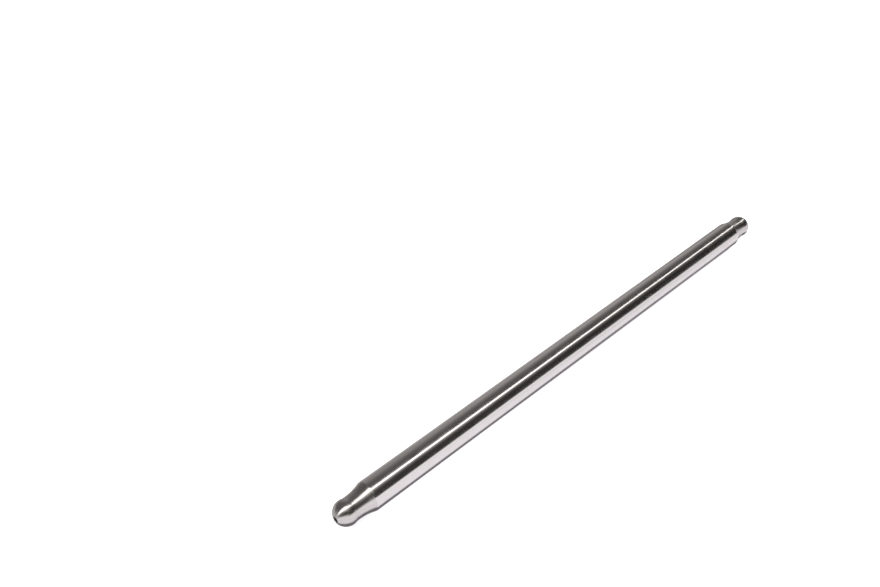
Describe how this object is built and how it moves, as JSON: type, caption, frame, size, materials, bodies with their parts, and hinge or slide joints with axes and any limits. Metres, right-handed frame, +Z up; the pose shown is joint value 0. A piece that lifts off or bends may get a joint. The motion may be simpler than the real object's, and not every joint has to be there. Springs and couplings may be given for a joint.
{
  "type": "engine pushrod",
  "caption": "One-piece hollow steel engine pushrod with a ball formed on each end and an oil hole through both balls.",
  "frame": {"origin": "centre of the ball at the lifter end", "axes": "+X along the rod towards the rocker end, +Z up, the rod lying on its side"},
  "size_m": [0.21, 0.0096, 0.0094],
  "materials": {
    "steel": "bare steel, fine ground, with a slightly duller swaged neck and ball"
  },
  "bodies": {
    "root": {"pushrod": "steel"}
  },
  "joints": []
}
